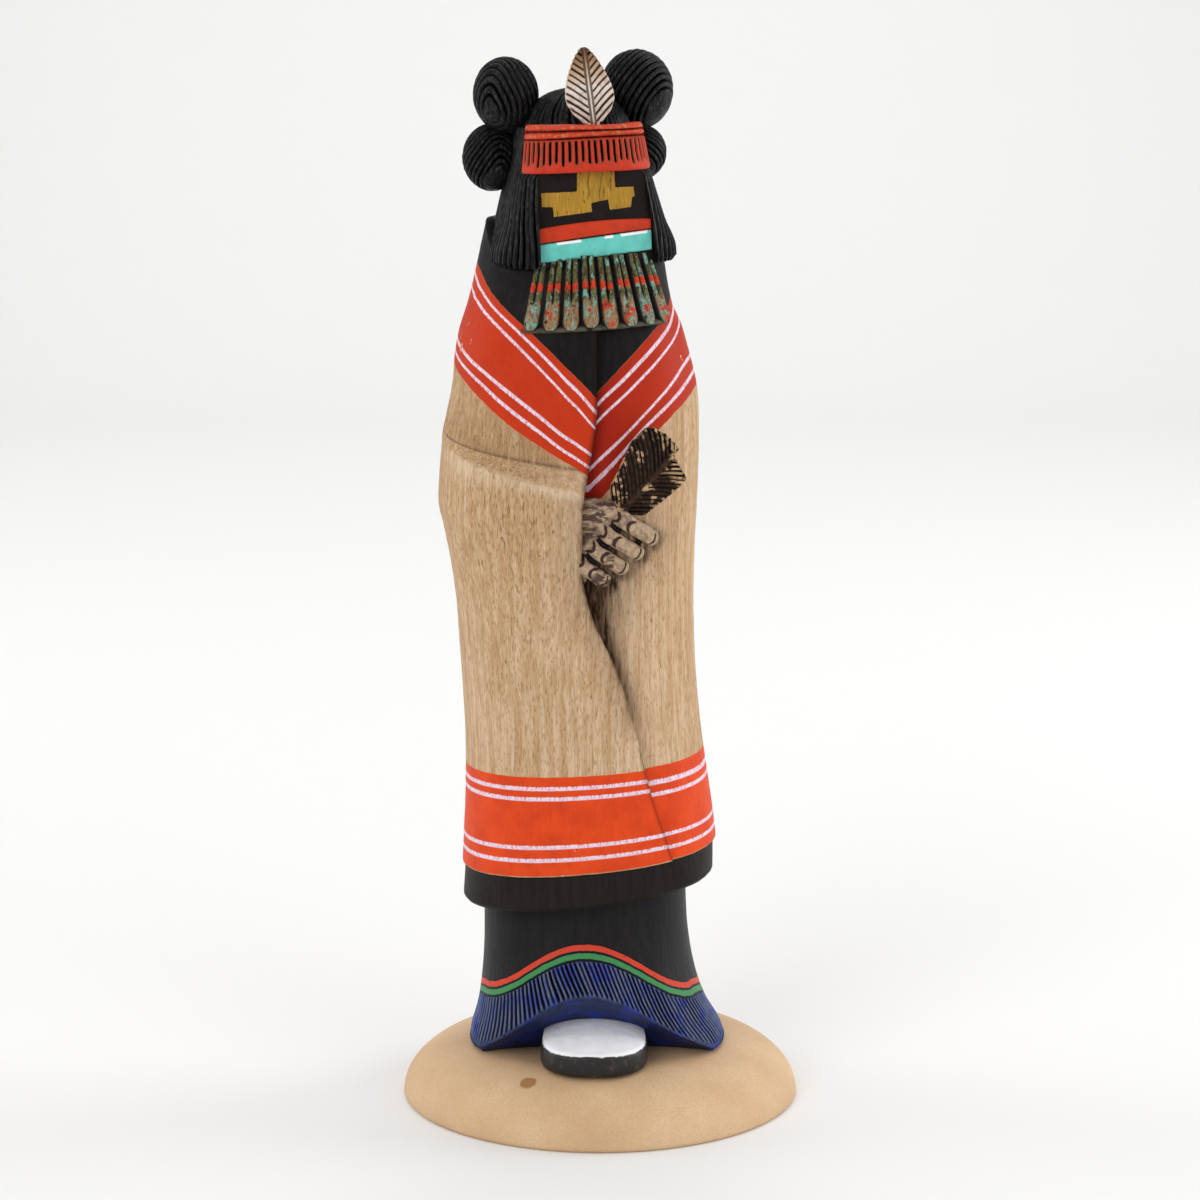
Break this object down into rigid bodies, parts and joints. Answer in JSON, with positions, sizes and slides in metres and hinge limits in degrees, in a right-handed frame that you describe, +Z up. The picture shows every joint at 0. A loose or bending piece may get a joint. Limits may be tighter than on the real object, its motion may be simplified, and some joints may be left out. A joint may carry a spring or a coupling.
{
  "type": "kachina doll",
  "caption": "Carved wooden kachina doll in a wrapped, banded robe with hair whorls, a fluted headband, a carved beard and feathers, standing on a turned disc.",
  "frame": {"origin": "middle of the disc's underside", "axes": "+Z up, -Y the way the doll faces, +X to the right of someone who faces it"},
  "size_m": [0.0888, 0.0888, 0.2342],
  "materials": {
    "carving": "painted and bare cottonwood, satin",
    "disc": "fine sanded, clear matt varnish",
    "pale_feather": "matt paint with burnt lines",
    "dark_feather": "burnt and stained"
  },
  "bodies": {
    "root": {"base": "disc", "figure": "carving", "head_feather": "pale_feather", "hand_feather": "dark_feather"}
  },
  "joints": []
}
